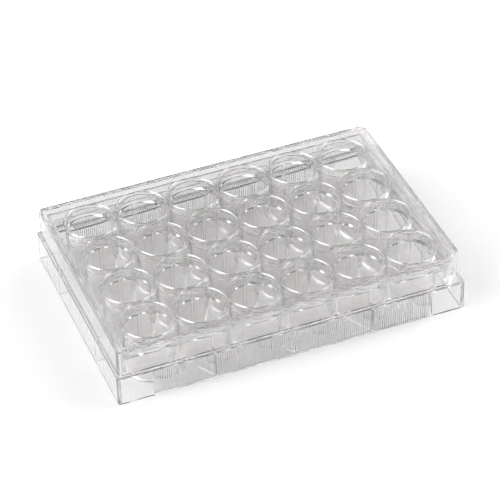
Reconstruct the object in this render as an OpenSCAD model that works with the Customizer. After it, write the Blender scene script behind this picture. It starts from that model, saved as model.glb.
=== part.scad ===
// Covered 24-well culture plate: one clear moulded plate and one clear lid.
// Origin: middle of the footprint, on the surface that the skirt stands on.
// X runs along the six columns, Y along the four rows, Z is up.

/* [Skirt] */
// Length over the skirt
plate_length = 127.76; // [127:0.01:130]
// Width over the skirt
plate_width = 85.48; // [85:0.01:88]
// Height of the skirt, up to the ledge that carries the lid
skirt_height = 11.6; // [9:0.1:14]
// Thickness of the skirt and of the ledge
skirt_wall = 1.4; // [1.2:0.1:1.6]
// Radius of the skirt's outer corners
skirt_corner = 1; // [0.5:0.1:2]

/* [Grip] */
// Distance between the upright grip grooves of the long sides
groove_pitch = 0.8; // [0.8:0.1:2]
// Depth of a grip groove
groove_depth = 0.3; // [0.1:0.05:0.4]
// Plain length left at each end of a long side
plain_end = 12.6; // [8:0.1:20]

/* [Wells] */
// Wells along the plate
columns = 6; // [2:1:6]
// Wells across the plate
rows = 4; // [2:1:4]
// Distance from an end of the plate to the middle of the nearest column of an unshifted grid
end_to_well = 15.63; // [15.5:0.01:16.2]
// Distance from a long side of the plate to the middle of the nearest row
side_to_well = 13.79; // [13.7:0.01:14.2]
// Shift of the well grid toward the keyed end of the plate
grid_shift = 0.5; // [0:0.1:0.6]
// Bore of a well at its mouth
mouth_bore = 16.2; // [14:0.1:16.4]
// Loss of bore from a well's mouth to its floor
bore_taper = 0.6; // [0.2:0.1:1.2]
// Thickness of a well's wall at its mouth
well_wall = 0.8; // [0.6:0.05:0.9]
// Depth of a well
well_depth = 17.4; // [14:0.1:17.6]
// Thickness of a well's floor
well_floor = 1.2; // [1:0.1:1.4]
// Thickness of the upright webs that join neighbouring wells
web_thickness = 0.8; // [0.6:0.1:1.2]
// Height of the webs' lower edges above the foot
web_bottom = 3; // [2:0.1:8]

/* [Deck] */
// Height of the wells' rims above the foot
rim_height = 20; // [19.6:0.1:20.2]
// Height that a rim stands above the deck
rim_stand = 2.4; // [1:0.1:3]
// Thickness of the deck that joins the wells
deck_thickness = 1.4; // [1:0.1:2]
// Thickness of the upper wall round the wells
upper_wall = 1; // [0.8:0.05:1.2]
// Gap between the lid's wall and the upper wall
lid_clearance = 1.2; // [0.6:0.1:1.4]
// Thickness of the ribs that tie the skirt to the wells
rib_thickness = 1; // [0.8:0.1:1.6]

/* [Lid] */
// Gap between the wells' rims and the lid's underside
lid_gap = 0.75; // [0.6:0.05:2]
// Step from the skirt's outer face in to the lid's
lid_inset = 0.86; // [0.5:0.02:1]
// Thickness of the lid
lid_wall = 1.25; // [1:0.05:1.3]
// Radius of the lid's two round corners
lid_corner = 1.8; // [1:0.1:3]
// Leg of the larger cut corner, at the front of the keyed end
front_key = 4.4; // [2:0.1:6]
// Leg of the smaller cut corner, at the back of the keyed end
back_key = 2.2; // [2:0.1:6]
// Distance from a well's outer face out to the edge of its condensation ring under the lid
ring_outset = 0.65; // [0.2:0.05:0.8]
// Smallest gap between neighbouring condensation rings
ring_gap = 0.2; // [0.1:0.1:0.6]
// Width of a condensation ring
ring_width = 0.6; // [0.4:0.1:0.8]
// Drop of a condensation ring below the lid's underside
ring_drop = 0.4; // [0.2:0.1:0.5]

/* [Hidden] */
$fn = 96;
// How far shapes run into each other, and how far a cutter runs past what it opens
overlap = 0.2;
cut_past = 1;
// Smallest radius left where a round corner is set in
least_radius = 0.4;
clear_plastic = [0.92, 0.94, 0.94, 0.4];

deck_top = rim_height - rim_stand;
deck_bottom = deck_top - deck_thickness;
ledge_bottom = skirt_height - skirt_wall;
mouth_radius = mouth_bore / 2;
floor_radius = mouth_radius - bore_taper / 2;
well_radius = mouth_radius + well_wall;
column_pitch = (plate_length - 2 * end_to_well) / (columns - 1);
row_pitch = (plate_width - 2 * side_to_well) / (rows - 1);
floor_height = rim_height - well_depth;
well_bottom = floor_height - well_floor;
upper_inset = lid_inset + lid_wall + lid_clearance;
lid_underside = rim_height + lid_gap;
lid_top = lid_underside + lid_wall;
ring_outer = min(well_radius + ring_outset, (min(column_pitch, row_pitch) - ring_gap) / 2);
// Foot of the tie ribs, and how far they reach in past the upper wall
rib_bottom = 0.8;
rib_reach = 0.9;
// Land left on the grip grooves' crests, and the plain lip above the grooves
groove_crest = 0.1;
grip_lip = 1;
// A cut corner's leg shortens by this much for each millimetre further in
key_shrink = 2 - sqrt(2);

// Centres of the wells along X and along Y
well_x = [for (i = [0:columns - 1]) grid_shift + (i - (columns - 1) / 2) * column_pitch];
well_y = [for (j = [0:rows - 1]) (j - (rows - 1) / 2) * row_pitch];

module at_wells() {
    for (x = well_x, y = well_y) translate([x, y, 0]) children();
}

// Rectangle round the origin with four round corners
module round_outline(length, width, radius) {
    square([length - 2 * radius, width], center = true);
    square([length, width - 2 * radius], center = true);
    for (sx = [-1, 1], sy = [-1, 1])
        translate([sx * (length / 2 - radius), sy * (width / 2 - radius)]) circle(radius);
}

// Outline set in from the footprint, with round corners at -X and cut corners at +X
module keyed_outline(inset) {
    x = plate_length / 2 - inset;
    y = plate_width / 2 - inset;
    further_in = inset - lid_inset;
    radius = max(lid_corner - further_in, least_radius);
    front = front_key - key_shrink * further_in;
    back = back_key - key_shrink * further_in;
    polygon([
        [radius - x, -y], [x - front, -y], [x, front - y],
        [x, y - back], [x - back, y], [radius - x, y]
    ]);
    translate([-x, radius - y]) square([2 * radius, 2 * (y - radius)]);
    for (side = [-1, 1]) translate([radius - x, side * (y - radius)]) circle(radius);
}

// Wall that follows the keyed outline
module keyed_wall(inset, thickness, bottom, top) {
    translate([0, 0, bottom]) linear_extrude(top - bottom) difference() {
        keyed_outline(inset);
        keyed_outline(inset + thickness);
    }
}

module skirt() {
    inner_length = plate_length - 2 * skirt_wall;
    inner_width = plate_width - 2 * skirt_wall;
    linear_extrude(skirt_height) difference() {
        round_outline(plate_length, plate_width, skirt_corner);
        round_outline(inner_length, inner_width, max(skirt_corner - skirt_wall, least_radius));
    }
}

// Step from the skirt in to the upper wall; the lid stands on it
module ledge() {
    translate([0, 0, ledge_bottom]) linear_extrude(skirt_wall) difference() {
        round_outline(plate_length - skirt_wall, plate_width - skirt_wall, skirt_corner);
        keyed_outline(upper_inset + upper_wall / 2);
    }
}

module deck() {
    translate([0, 0, deck_bottom]) linear_extrude(deck_thickness)
        keyed_outline(upper_inset + upper_wall / 2);
}

module well_body() {
    translate([0, 0, well_bottom]) cylinder(h = rim_height - well_bottom, r = well_radius);
}

module well_bore() {
    translate([0, 0, floor_height])
        cylinder(h = well_depth, r1 = floor_radius, r2 = mouth_radius);
    translate([0, 0, rim_height]) cylinder(h = cut_past, r = mouth_radius);
}

// Webs under the deck, each from the middle of one well's wall to the middle of the next one's
module webs() {
    height = deck_bottom + overlap - web_bottom;
    wall_ring = 2 * mouth_radius + well_wall;
    for (k = [1:columns - 1], y = well_y)
        translate([(well_x[k - 1] + well_x[k]) / 2, y, web_bottom + height / 2])
            cube([column_pitch - wall_ring, web_thickness, height], center = true);
    for (x = well_x, k = [1:rows - 1])
        translate([x, (well_y[k - 1] + well_y[k]) / 2, web_bottom + height / 2])
            cube([web_thickness, row_pitch - wall_ring, height], center = true);
}

// Upright rib that stands inward from the middle of a side facing -Y. It ties the skirt's
// inner face to the upper wall and, above the ledge, the upper wall to the wells.
module tie_rib(half_width) {
    skirt_middle = skirt_wall / 2 - half_width;
    wall_middle = upper_inset + upper_wall / 2 - half_width;
    inner_end = upper_inset + upper_wall + rib_reach - half_width;
    rotate([90, 0, 90]) translate([0, 0, -rib_thickness / 2]) linear_extrude(rib_thickness) polygon([
        [skirt_middle, rib_bottom], [inner_end, rib_bottom],
        [inner_end, deck_bottom + overlap], [wall_middle, deck_bottom + overlap],
        [wall_middle, ledge_bottom + overlap], [skirt_middle, ledge_bottom + overlap]
    ]);
}

// Ribs at the middle of each long side and at its second wells, and between the outer rows
module tie_ribs() {
    along = (columns / 2 - 1.5) * column_pitch;
    across = (rows / 2 - 1) * row_pitch;
    for (flip = [0, 1]) mirror([0, flip, 0])
        for (k = [-1:1]) translate([grid_shift + k * along, 0, 0]) tie_rib(plate_width / 2);
    for (turn = [90, 270], k = [-1, 1])
        rotate(turn) translate([k * across, 0, 0]) tie_rib(plate_length / 2);
}

// Cutter for the upright V grooves of one long side, which faces -Y
module grip_cutter() {
    count = floor((plate_length - 2 * plain_end) / groove_pitch);
    start = -count * groove_pitch / 2;
    face = -plate_width / 2;
    crest = face + groove_crest;
    valley = crest + groove_depth;
    teeth = [for (k = [0:count - 1]) each [
        [start + k * groove_pitch, crest],
        [start + (k + 0.5) * groove_pitch, valley]
    ]];
    outside = face - cut_past;
    translate([0, 0, -cut_past]) linear_extrude(skirt_height - grip_lip + cut_past) polygon(concat(
        [[start, outside]], teeth, [[-start, crest], [-start, outside]]
    ));
}

module plate() {
    color(clear_plastic) difference() {
        union() {
            skirt();
            ledge();
            keyed_wall(upper_inset, upper_wall, ledge_bottom, rim_height);
            deck();
            tie_ribs();
            webs();
            at_wells() well_body();
        }
        at_wells() well_bore();
        grip_cutter();
        mirror([0, 1, 0]) grip_cutter();
    }
}

module lid() {
    color(clear_plastic) {
        keyed_wall(lid_inset, lid_wall, skirt_height, lid_top);
        translate([0, 0, lid_underside])
            linear_extrude(lid_wall) keyed_outline(lid_inset + lid_wall / 2);
        translate([0, 0, lid_underside - ring_drop]) linear_extrude(ring_drop + overlap) difference() {
            at_wells() circle(ring_outer);
            at_wells() circle(ring_outer - ring_width);
        }
    }
}

plate();
lid();
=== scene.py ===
import bmesh
import bpy
import math
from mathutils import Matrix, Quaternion, Vector


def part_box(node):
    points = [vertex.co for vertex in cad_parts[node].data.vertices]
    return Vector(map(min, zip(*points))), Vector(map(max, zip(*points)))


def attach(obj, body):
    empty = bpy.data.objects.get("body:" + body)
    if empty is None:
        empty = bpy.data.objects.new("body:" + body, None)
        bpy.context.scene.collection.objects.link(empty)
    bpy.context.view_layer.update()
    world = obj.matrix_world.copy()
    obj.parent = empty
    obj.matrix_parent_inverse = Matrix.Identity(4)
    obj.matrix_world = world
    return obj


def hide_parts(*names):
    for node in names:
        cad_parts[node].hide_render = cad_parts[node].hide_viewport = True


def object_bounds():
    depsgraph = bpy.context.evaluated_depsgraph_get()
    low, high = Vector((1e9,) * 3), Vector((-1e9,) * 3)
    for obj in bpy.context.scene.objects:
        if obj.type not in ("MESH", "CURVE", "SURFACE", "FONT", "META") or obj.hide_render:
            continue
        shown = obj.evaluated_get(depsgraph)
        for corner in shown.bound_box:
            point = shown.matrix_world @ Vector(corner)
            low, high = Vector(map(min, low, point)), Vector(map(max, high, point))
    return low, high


# Covered 24-well culture plate: the clear plate and its clear lid, rebuilt as fine meshes
# inside the CAD solids. Sizes are in millimetres until scaled() turns a mesh into metres.

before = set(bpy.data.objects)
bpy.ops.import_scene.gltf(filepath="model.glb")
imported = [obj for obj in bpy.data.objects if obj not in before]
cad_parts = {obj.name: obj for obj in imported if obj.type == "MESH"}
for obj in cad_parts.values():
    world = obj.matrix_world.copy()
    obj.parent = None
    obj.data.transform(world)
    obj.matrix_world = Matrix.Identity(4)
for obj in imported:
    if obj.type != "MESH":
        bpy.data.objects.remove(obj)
cad_low, cad_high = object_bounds()
scene = bpy.context.scene

MM = 0.001
PLATE_LENGTH = (cad_high.x - cad_low.x) / MM
PLATE_WIDTH = (cad_high.y - cad_low.y) / MM
SKIRT_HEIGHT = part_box("lid")[0].z / MM
LID_TOP = cad_high.z / MM
RIM_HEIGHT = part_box("plate")[1].z / MM
LID_INSET = (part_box("lid")[0].x - cad_low.x) / MM

SKIRT_WALL = 1.4
SKIRT_CORNER = 1.0
GROOVE_PITCH = 0.8
GROOVE_DEPTH = 0.3
GROOVE_CREST = 0.1
GRIP_LIP = 1
PLAIN_END = 12.6

COLUMNS = 6
ROWS = 4
WELL_PITCH = 19.3
GRID_SHIFT = 0.5
MOUTH_RADIUS = 8.1
FLOOR_RADIUS = 7.8
WELL_RADIUS = 8.9
WELL_DEPTH = 17.4
WELL_FLOOR = 1.2
FLOOR_HEIGHT = RIM_HEIGHT - WELL_DEPTH
WELL_BOTTOM = FLOOR_HEIGHT - WELL_FLOOR
WELL_X = [GRID_SHIFT + (i - (COLUMNS - 1) / 2) * WELL_PITCH for i in range(COLUMNS)]
WELL_Y = [(j - (ROWS - 1) / 2) * WELL_PITCH for j in range(ROWS)]

RIM_STAND = 2.4
DECK_THICKNESS = 1.4
DECK_TOP = RIM_HEIGHT - RIM_STAND
DECK_BOTTOM = DECK_TOP - DECK_THICKNESS
LEDGE_BOTTOM = SKIRT_HEIGHT - SKIRT_WALL
LID_WALL = 1.25
LID_CLEARANCE = 1.2
UPPER_INSET = LID_INSET + LID_WALL + LID_CLEARANCE
UPPER_WALL = 1
RIB_BOTTOM = 0.8
RIB_REACH = 0.9
RIB_THICKNESS = 1
WEB_THICKNESS = 0.8
WEB_BOTTOM = 3

FRONT_KEY = 4.4
BACK_KEY = 2.2
KEY_RADII = (1.8, 0.5, 0.5, 0.5, 0.5, 1.8)
LID_UNDERSIDE = LID_TOP - LID_WALL
RING_RADIUS = 9.55
RING_WIDTH = 0.6
RING_DROP = 0.4

# Rounds on the edges: the skirt's foot and head, the upper wall's top, and the lid inside and out
FOOT_ROUND = 0.15
SKIRT_ROUND = 0.25
UPPER_ROUND = 0.15
LID_ROUND = 0.1
# Rounds of a well's base, mouth and floor and of a ring: the size, and the cut at the middle
BASE_ROUND, BASE_CUT = 0.5, 0.15
MOUTH_ROUND, MOUTH_CUT = 0.15, 0.04
FLOOR_ROUND, FLOOR_CUT = 0.4, 0.12
RING_ROUND, RING_CUT = 0.1, 0.06

# Hair of air under the lid and under the foot, so that light bends at both surfaces
AIR = 0.02

# Steps round a circle, how far shapes run into each other, and how far a cutter runs past a face
ROUND_STEPS = 144
OVERLAP = 0.2
CUT_PAST = 1
# Smallest corner radius, steps of a rounded edge, and the angle in degrees from which an edge is crisp
LEAST_RADIUS = 0.05
EDGE_STEPS = 4
CRISP_ANGLE = 32

# Polystyrene: colour, index of refraction, clarity and roughness, the last one flat and on edges
TINT = (0.946, 0.943, 0.942)
INDEX = 1.59
CLARITY = 0.98
ROUGHNESS = 0.02
EDGE_ROUGHNESS = 0.05
# The ground grip: its colour, a darker grey than the plastic that is painted shade, what it adds in
# roughness, and how far it reaches past the valleys
GRIP_PAINTED_SHADE = (0.66, 0.657, 0.656)
GRIP_ROUGHNESS = 0.1
GRIP_MARGIN = 0.02
# Tool marks: how fine they are, how far they are drawn out upright, how strong, and their height in metres
MARK_SCALE = 1500
MARK_STRETCH = 0.03
MARK_STRENGTH = 0.5
MARK_HEIGHT = 0.00004

# Azimuth from +X, height, reach to each side (degrees) and brightness of each soft light
SOFTBOXES = [(0, 90, 53, 0.3), (175, 25, 45, 2.9), (5, 25, 45, 2.5)]
SKY = 0.1
# Part of a soft light's reach that is evenly bright
CORE = 0.7
# The floor's paper white, and its half width in metres
PAPER = 0.95
FLOOR_HALF = 6

# Where the camera stands (metres), which way it looks, and its roll (degrees) and lens
CAMERA_PLACE = (-0.23705, -0.61901, 0.55259)
CAMERA_LOOK = (0.27853, 0.72462, -0.63036)
CAMERA_ROLL = -1.557
CAMERA_LENS = 175.72


# ---------------------------------------------------------------- mesh helpers

def new_object(name, mesh):
    obj = bpy.data.objects.new(name, mesh)
    scene.collection.objects.link(obj)
    return obj


def solid(name, points, faces):
    """A closed mesh with its faces turned outward."""
    mesh = bpy.data.meshes.new(name)
    mesh.from_pydata(points, [], faces)
    bm = bmesh.new()
    bm.from_mesh(mesh)
    bmesh.ops.remove_doubles(bm, verts=bm.verts, dist=1e-5)
    bmesh.ops.recalc_face_normals(bm, faces=bm.faces)
    bm.to_mesh(mesh)
    bm.free()
    return new_object(name, mesh)


def loft(name, loops):
    """A solid through a stack of equal loops, closed by its first and last one."""
    n = len(loops[0])
    points = [p for loop in loops for p in loop]
    faces = [list(range(n)), list(range(len(points) - n, len(points)))]
    for k in range(len(loops) - 1):
        for i in range(n):
            j = (i + 1) % n
            faces.append([k * n + i, k * n + j, (k + 1) * n + j, (k + 1) * n + i])
    return solid(name, points, faces)


def circle(x, y, radius, z):
    steps = [2 * math.pi * i / ROUND_STEPS for i in range(ROUND_STEPS)]
    return [(x + radius * math.cos(a), y + radius * math.sin(a), z) for a in steps]


def lathe(name, x, y, profile):
    """A solid of revolution from (radius, height) pairs, closed by flat ends."""
    return loft(name, [circle(x, y, r, z) for r, z in profile])


def ring(name, x, y, profile):
    """A ring whose section is the closed loop of (radius, height) pairs."""
    n = len(profile)
    loops = [circle(x, y, r, z) for r, z in profile]
    points = [p for loop in loops for p in loop]
    faces = []
    for k in range(n):
        for i in range(ROUND_STEPS):
            j = (i + 1) % ROUND_STEPS
            a, b = k * ROUND_STEPS, (k + 1) % n * ROUND_STEPS
            faces.append([a + i, a + j, b + j, b + i])
    return solid(name, points, faces)


def outline(corners, radii, inset, steps=6):
    """The convex outline set in by inset, with its corners rounded."""
    points = []
    for i, corner in enumerate(corners):
        before, here, after = (Vector(corners[k % len(corners)]) for k in (i - 1, i, i + 1))
        along = (here - before).normalized()
        onward = (after - here).normalized()
        normal, next_normal = Vector((-along.y, along.x)), Vector((-onward.y, onward.x))
        reach = (normal + next_normal) / (1 + normal.dot(next_normal))
        radius = max(radii[i] - inset, LEAST_RADIUS)
        centre = here + reach * (inset + radius)
        start = math.atan2(-normal.y, -normal.x)
        turn = math.atan2(normal.x * next_normal.y - normal.y * next_normal.x, normal.dot(next_normal))
        for k in range(steps + 1):
            a = start + turn * k / steps
            points.append((centre.x + radius * math.cos(a), centre.y + radius * math.sin(a)))
    return points


def prism(name, corners, radii, inset, bottom, top, foot_round=0.0, head_round=0.0):
    """An upright prism on the outline, with its foot and head edges rounded."""
    quarter = [math.pi / 2 * k / EDGE_STEPS for k in range(EDGE_STEPS + 1)]
    path = [(foot_round * (1 - math.cos(a)), bottom + foot_round * (1 - math.sin(a))) for a in quarter[::-1]]
    path += [(head_round * (1 - math.cos(a)), top - head_round * (1 - math.sin(a))) for a in quarter]
    loops = []
    for extra, z in path:
        loop = [(x, y, z) for x, y in outline(corners, radii, inset + extra)]
        if not loops or loop != loops[-1]:
            loops.append(loop)
    return loft(name, loops)


def block(name, low, high):
    corners = [(low[0], low[1]), (high[0], low[1]), (high[0], high[1]), (low[0], high[1])]
    return loft(name, [[(x, y, z) for x, y in corners] for z in (low[2], high[2])])


def joined(name, objects):
    bm = bmesh.new()
    for obj in objects:
        bm.from_mesh(obj.data)
        drop(obj)
    mesh = bpy.data.meshes.new(name)
    bm.to_mesh(mesh)
    bm.free()
    return new_object(name, mesh)


def drop(obj):
    mesh = obj.data
    bpy.data.objects.remove(obj)
    bpy.data.meshes.remove(mesh)


def combine(target, operation, tools):
    for tool in tools:
        modifier = target.modifiers.new("combine", "BOOLEAN")
        modifier.operation = operation
        modifier.solver = "MANIFOLD"
        modifier.object = tool
    settle(target)
    for tool in tools:
        drop(tool)


def settle(obj):
    """Applies the object's modifiers."""
    graph = bpy.context.evaluated_depsgraph_get()
    mesh = bpy.data.meshes.new_from_object(obj.evaluated_get(graph))
    obj.modifiers.clear()
    old = obj.data
    obj.data = mesh
    bpy.data.meshes.remove(old)


def finished(obj, name, node, material):
    """Metres, smooth shading with crisp edges, and the CAD node that the piece stands for."""
    mesh = obj.data
    bm = bmesh.new()
    bm.from_mesh(mesh)
    bmesh.ops.remove_doubles(bm, verts=bm.verts, dist=1e-4)
    bmesh.ops.scale(bm, vec=(MM, MM, MM), verts=bm.verts)
    bm.to_mesh(mesh)
    bm.free()
    mesh.shade_smooth()
    mesh.set_sharp_from_angle(angle=math.radians(CRISP_ANGLE))
    weighted = obj.modifiers.new("weighted", "WEIGHTED_NORMAL")
    weighted.keep_sharp = True
    weighted.mode = "FACE_AREA"
    settle(obj)
    obj.name = name
    obj.data.name = name
    obj.data.materials.clear()
    obj.data.materials.append(material)
    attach(obj, "root")
    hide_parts(node)


# ---------------------------------------------------------------- the two mouldings

def footprint():
    x, y = PLATE_LENGTH / 2, PLATE_WIDTH / 2
    return [(-x, -y), (x, -y), (x, y), (-x, y)]


def keyed():
    """Corners of the lid's outer face, cut at the two corners at +X."""
    x, y = PLATE_LENGTH / 2 - LID_INSET, PLATE_WIDTH / 2 - LID_INSET
    return [(-x, -y), (x - FRONT_KEY, -y), (x, FRONT_KEY - y), (x, y - BACK_KEY), (x - BACK_KEY, y), (-x, y)]


def at_wells(make):
    return joined("wells", [make(x, y) for x in WELL_X for y in WELL_Y])


def well_body(x, y):
    return lathe("well", x, y, [
        (WELL_RADIUS - BASE_ROUND, WELL_BOTTOM), (WELL_RADIUS - BASE_CUT, WELL_BOTTOM + BASE_CUT),
        (WELL_RADIUS, WELL_BOTTOM + BASE_ROUND), (WELL_RADIUS, RIM_HEIGHT - MOUTH_ROUND),
        (WELL_RADIUS - MOUTH_CUT, RIM_HEIGHT - MOUTH_CUT), (WELL_RADIUS - MOUTH_ROUND, RIM_HEIGHT),
    ])


def well_bore(x, y):
    return lathe("bore", x, y, [
        (FLOOR_RADIUS - FLOOR_ROUND, FLOOR_HEIGHT), (FLOOR_RADIUS - FLOOR_CUT, FLOOR_HEIGHT + FLOOR_CUT),
        (FLOOR_RADIUS, FLOOR_HEIGHT + FLOOR_ROUND), (MOUTH_RADIUS, RIM_HEIGHT - MOUTH_ROUND),
        (MOUTH_RADIUS + MOUTH_CUT, RIM_HEIGHT - MOUTH_CUT), (MOUTH_RADIUS + MOUTH_ROUND, RIM_HEIGHT),
        (MOUTH_RADIUS + MOUTH_ROUND, RIM_HEIGHT + CUT_PAST),
    ])


def tie_ribs():
    ribs = []
    inner = UPPER_INSET + UPPER_WALL + RIB_REACH
    half = RIB_THICKNESS / 2
    levels = [
        (SKIRT_WALL / 2, RIB_BOTTOM, LEDGE_BOTTOM + OVERLAP),
        (UPPER_INSET + UPPER_WALL / 2, LEDGE_BOTTOM, DECK_BOTTOM + OVERLAP),
    ]
    for side in (-1, 1):
        for outer, bottom, top in levels:
            ends = sorted(side * (PLATE_WIDTH / 2 - d) for d in (outer, inner))
            for k in (-1, 0, 1):
                x = GRID_SHIFT + 1.5 * k * WELL_PITCH
                ribs.append(block("rib", (x - half, ends[0], bottom), (x + half, ends[1], top)))
            ends = sorted(side * (PLATE_LENGTH / 2 - d) for d in (outer, inner))
            for k in (-1, 1):
                y = k * WELL_PITCH
                ribs.append(block("rib", (ends[0], y - half, bottom), (ends[1], y + half, top)))
    return ribs


def webs():
    """Webs under the deck, from the middle of one well's wall to the middle of the next one's."""
    reach = (WELL_PITCH - MOUTH_RADIUS - WELL_RADIUS) / 2
    half = WEB_THICKNESS / 2
    top = DECK_BOTTOM + OVERLAP
    result = []
    for x in WELL_X[:-1]:
        for y in WELL_Y:
            middle = x + WELL_PITCH / 2
            low, high = (middle - reach, y - half, WEB_BOTTOM), (middle + reach, y + half, top)
            result.append(block("web", low, high))
    for x in WELL_X:
        for y in WELL_Y[:-1]:
            middle = y + WELL_PITCH / 2
            low, high = (x - half, middle - reach, WEB_BOTTOM), (x + half, middle + reach, top)
            result.append(block("web", low, high))
    return result


def grip_cutter(side):
    count = int((PLATE_LENGTH - 2 * PLAIN_END) / GROOVE_PITCH)
    start = -count * GROOVE_PITCH / 2
    face = PLATE_WIDTH / 2
    crest = face - GROOVE_CREST
    valley = crest - GROOVE_DEPTH
    points = [(start, face + CUT_PAST)]
    for k in range(count):
        points.append((start + k * GROOVE_PITCH, crest))
        points.append((start + (k + 0.5) * GROOVE_PITCH, valley))
    points += [(-start, crest), (-start, face + CUT_PAST)]
    ends = (-CUT_PAST, SKIRT_HEIGHT - GRIP_LIP)
    return loft("grip", [[(x, side * y, z) for x, y in points] for z in ends])


def make_plate(material):
    corners = [SKIRT_CORNER] * 4
    upper = UPPER_INSET - LID_INSET
    inside = upper + UPPER_WALL
    plate = prism("plate", footprint(), corners, 0, 0, SKIRT_HEIGHT, FOOT_ROUND, SKIRT_ROUND)
    combine(plate, "UNION", [
        prism("upper", keyed(), KEY_RADII, upper, LEDGE_BOTTOM, RIM_HEIGHT, 0, UPPER_ROUND),
    ])
    combine(plate, "DIFFERENCE", [
        prism("under", footprint(), corners, SKIRT_WALL, -CUT_PAST, LEDGE_BOTTOM),
        prism("below_deck", keyed(), KEY_RADII, inside, LEDGE_BOTTOM - CUT_PAST, DECK_BOTTOM),
        prism("above_deck", keyed(), KEY_RADII, inside, DECK_TOP, RIM_HEIGHT + CUT_PAST),
    ])
    combine(plate, "UNION", [at_wells(well_body), joined("webs", webs())] + tie_ribs())
    combine(plate, "DIFFERENCE", [at_wells(well_bore), grip_cutter(-1), grip_cutter(1)])
    finished(plate, "plate_moulding", "plate", material)


def lid_ring(x, y):
    inner = RING_RADIUS - RING_WIDTH
    low = LID_UNDERSIDE - RING_DROP
    return ring("ring", x, y, [
        (inner, LID_UNDERSIDE + OVERLAP), (inner, LID_UNDERSIDE - RING_ROUND),
        (inner + RING_ROUND, low + RING_CUT), (RING_RADIUS - RING_WIDTH / 2, low),
        (RING_RADIUS - RING_ROUND, low + RING_CUT), (RING_RADIUS, LID_UNDERSIDE - RING_ROUND),
        (RING_RADIUS, LID_UNDERSIDE + OVERLAP),
    ])


def make_lid(material):
    foot = SKIRT_HEIGHT + AIR
    lid = prism("lid", keyed(), KEY_RADII, 0, foot, LID_TOP, LID_ROUND, LID_ROUND)
    combine(lid, "DIFFERENCE", [
        prism("inside", keyed(), KEY_RADII, LID_WALL, SKIRT_HEIGHT - CUT_PAST, LID_UNDERSIDE, 0, LID_ROUND),
    ])
    combine(lid, "UNION", [at_wells(lid_ring)])
    finished(lid, "lid_moulding", "lid", material)


# ---------------------------------------------------------------- materials

def add_node(tree, kind, inputs=(), **settings):
    node = tree.nodes.new(kind)
    for key, value in settings.items():
        setattr(node, key, value)
    for key, value in inputs:
        if isinstance(value, bpy.types.NodeSocket):
            tree.links.new(value, node.inputs[key])
        else:
            node.inputs[key].default_value = value
    return node


def ramp(tree, value, stops):
    """A ramp of greys from (position, level) pairs."""
    node = add_node(tree, "ShaderNodeValToRGB", [("Fac", value)])
    elements = node.color_ramp.elements
    while len(elements) < len(stops):
        elements.new(0.5)
    for element, (position, level) in zip(elements, stops):
        element.position = position
        element.color = (level, level, level, 1)
    return node.outputs["Color"]


def tool_marks(tree, slope):
    """A normal with faint upright marks on the walls, where slope is near 0."""
    place = add_node(tree, "ShaderNodeTexCoord").outputs["Object"]
    upright = add_node(tree, "ShaderNodeMapping", [("Vector", place), ("Scale", (1, 1, MARK_STRETCH))])
    marks = add_node(tree, "ShaderNodeTexNoise", [
        ("Vector", upright.outputs[0]), ("Scale", MARK_SCALE), ("Detail", 2),
    ])
    wall = ramp(tree, slope, [(0.05, 1), (0.1, 0)])
    height = add_node(tree, "ShaderNodeMath", [(0, marks.outputs["Fac"]), (1, wall)], operation="MULTIPLY")
    bump = add_node(tree, "ShaderNodeBump", [
        ("Height", height.outputs[0]), ("Strength", MARK_STRENGTH), ("Distance", MARK_HEIGHT),
    ])
    return bump.outputs["Normal"]


def edge_roughness(tree, slope):
    """Roughness that is higher on the rounds, where slope is neither near 0 nor near 1."""
    edge = ramp(tree, slope, [(0.06, 0), (0.12, 1), (0.93, 1), (0.98, 0)])
    inputs = [(0, edge), (1, EDGE_ROUGHNESS), (2, ROUGHNESS)]
    return add_node(tree, "ShaderNodeMath", inputs, operation="MULTIPLY_ADD").outputs[0]


def clear_plastic(name):
    """Clear polystyrene: faint upright tool marks on its walls, and edges that are a little rough."""
    material = bpy.data.materials.new(name)
    material.use_nodes = True
    tree = material.node_tree
    shader = tree.nodes["Principled BSDF"]
    geometry = add_node(tree, "ShaderNodeNewGeometry")
    normal = add_node(tree, "ShaderNodeSeparateXYZ", [(0, geometry.outputs["True Normal"])])
    slope = add_node(tree, "ShaderNodeMath", [(0, normal.outputs["Z"])], operation="ABSOLUTE").outputs[0]
    tree.links.new(tool_marks(tree, slope), shader.inputs["Normal"])
    tree.links.new(edge_roughness(tree, slope), shader.inputs["Roughness"])
    shader.inputs["Base Color"].default_value = (*TINT, 1)
    shader.inputs["Transmission Weight"].default_value = CLARITY
    shader.inputs["IOR"].default_value = INDEX
    return material


def grip_area(tree):
    """1 in the grip grooves of the plate's long sides, 0 elsewhere."""
    place = add_node(tree, "ShaderNodeTexCoord").outputs["Object"]
    axes = add_node(tree, "ShaderNodeSeparateXYZ", [(0, place)])
    along, across = (
        add_node(tree, "ShaderNodeMath", [(0, axes.outputs[k])], operation="ABSOLUTE") for k in (0, 1)
    )
    valley = PLATE_WIDTH / 2 - GROOVE_CREST - GROOVE_DEPTH
    limits = [
        (along.outputs[0], (PLATE_LENGTH / 2 - PLAIN_END) * MM, "LESS_THAN"),
        (across.outputs[0], (valley - GRIP_MARGIN) * MM, "GREATER_THAN"),
        (axes.outputs[2], (SKIRT_HEIGHT - GRIP_LIP) * MM, "LESS_THAN"),
    ]
    grip = 1
    for value, limit, operation in limits:
        inside = add_node(tree, "ShaderNodeMath", [(0, value), (1, limit)], operation=operation).outputs[0]
        grip = add_node(tree, "ShaderNodeMath", [(0, inside), (1, grip)], operation="MULTIPLY").outputs[0]
    return grip


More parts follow.
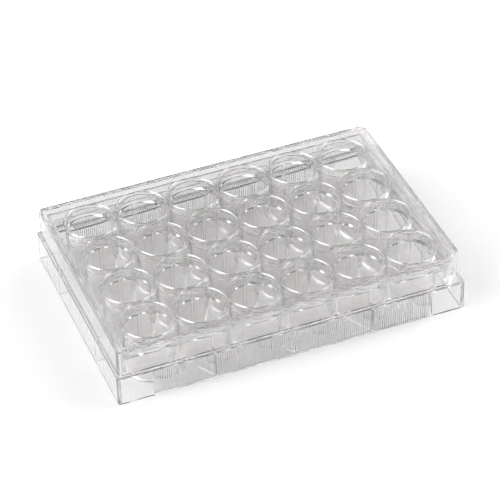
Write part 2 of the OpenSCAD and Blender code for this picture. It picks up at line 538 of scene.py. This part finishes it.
def roughen_grip_and_paint_shade(material):
    """Makes the grip grooves rougher than the rest, as if the mould were ground there, and greyer as painted
    shade.
    """
    tree = material.node_tree
    shader = tree.nodes["Principled BSDF"]
    grip = grip_area(tree)
    # Painted shade: the grooves get a darker grey colour than the rest of the plate
    shade_colours = [("Fac", grip), ("Color1", (*TINT, 1)), ("Color2", (*GRIP_PAINTED_SHADE, 1))]
    mix = add_node(tree, "ShaderNodeMixRGB", shade_colours)
    tree.links.new(mix.outputs[0], shader.inputs["Base Color"])
    smooth = shader.inputs["Roughness"].links[0].from_socket
    inputs = [(0, grip), (1, GRIP_ROUGHNESS), (2, smooth)]
    rough = add_node(tree, "ShaderNodeMath", inputs, operation="MULTIPLY_ADD")
    tree.links.new(rough.outputs[0], shader.inputs["Roughness"])


# ---------------------------------------------------------------- camera, light and floor

def make_camera():
    data = bpy.data.cameras.new("camera")
    camera = new_object("camera", data)
    scene.camera = camera
    camera.location = CAMERA_PLACE
    camera.rotation_mode = "QUATERNION"
    roll = Quaternion((0, 0, 1), math.radians(CAMERA_ROLL))
    camera.rotation_quaternion = Vector(CAMERA_LOOK).to_track_quat("-Z", "Y") @ roll
    data.sensor_width = 36
    data.lens = CAMERA_LENS
    data.clip_start, data.clip_end = 0.01, 20


def softbox(tree, direction, azimuth, height, reach, brightness):
    """A round soft light in the sky, reach degrees wide to each side, with a soft rim."""
    a, e = math.radians(azimuth), math.radians(height)
    axis = (math.cos(a) * math.cos(e), math.sin(a) * math.cos(e), math.sin(e))
    near = add_node(tree, "ShaderNodeVectorMath", [(0, direction), (1, axis)], operation="DOT_PRODUCT")
    rim, core = (math.cos(math.radians(d)) for d in (reach, reach * CORE))
    return add_node(tree, "ShaderNodeMapRange", [
        ("Value", near.outputs["Value"]), ("From Min", rim), ("From Max", core), ("To Max", brightness),
    ], interpolation_type="SMOOTHSTEP").outputs["Result"]


def make_world():
    """A dim studio with soft lights in the sky."""
    world = bpy.data.worlds.new("studio")
    scene.world = world
    world.use_nodes = True
    tree = world.node_tree
    tree.nodes.clear()
    direction = add_node(tree, "ShaderNodeTexCoord").outputs["Generated"]
    sky = SKY
    for azimuth, height, reach, brightness in SOFTBOXES:
        light = softbox(tree, direction, azimuth, height, reach, brightness)
        sky = add_node(tree, "ShaderNodeMath", [(0, sky), (1, light)], operation="ADD").outputs[0]
    background = add_node(tree, "ShaderNodeBackground", [("Color", sky)])
    output = add_node(tree, "ShaderNodeOutputWorld")
    tree.links.new(background.outputs[0], output.inputs[0])


def make_floor():
    half = FLOOR_HALF
    corners = [(-half, -half, 0), (half, -half, 0), (half, half, 0), (-half, half, 0)]
    mesh = bpy.data.meshes.new("floor")
    mesh.from_pydata(corners, [], [(0, 1, 2, 3)])
    floor = new_object("floor", mesh)
    floor.location.z = -AIR * MM
    material = bpy.data.materials.new("floor")
    material.use_nodes = True
    tree = material.node_tree
    tree.nodes.clear()
    paper = add_node(tree, "ShaderNodeBsdfDiffuse", [("Color", (PAPER, PAPER, PAPER, 1))])
    output = add_node(tree, "ShaderNodeOutputMaterial")
    tree.links.new(paper.outputs[0], output.inputs[0])
    mesh.materials.append(material)


make_camera()
make_world()
make_floor()
plate_plastic = clear_plastic("plate_plastic")
roughen_grip_and_paint_shade(plate_plastic)
make_plate(plate_plastic)
make_lid(clear_plastic("lid_plastic"))

scene.view_settings.view_transform = "Standard"
# Many bounces and no glossy filter, so that the floor under the clear plate stays bright
scene.cycles.max_bounces = 100
scene.cycles.transmission_bounces = 100
scene.cycles.glossy_bounces = 100
scene.cycles.diffuse_bounces = 24
scene.cycles.blur_glossy = 0
# A narrow pixel filter keeps the fine lines of the plate and its grip
scene.cycles.filter_width = 1
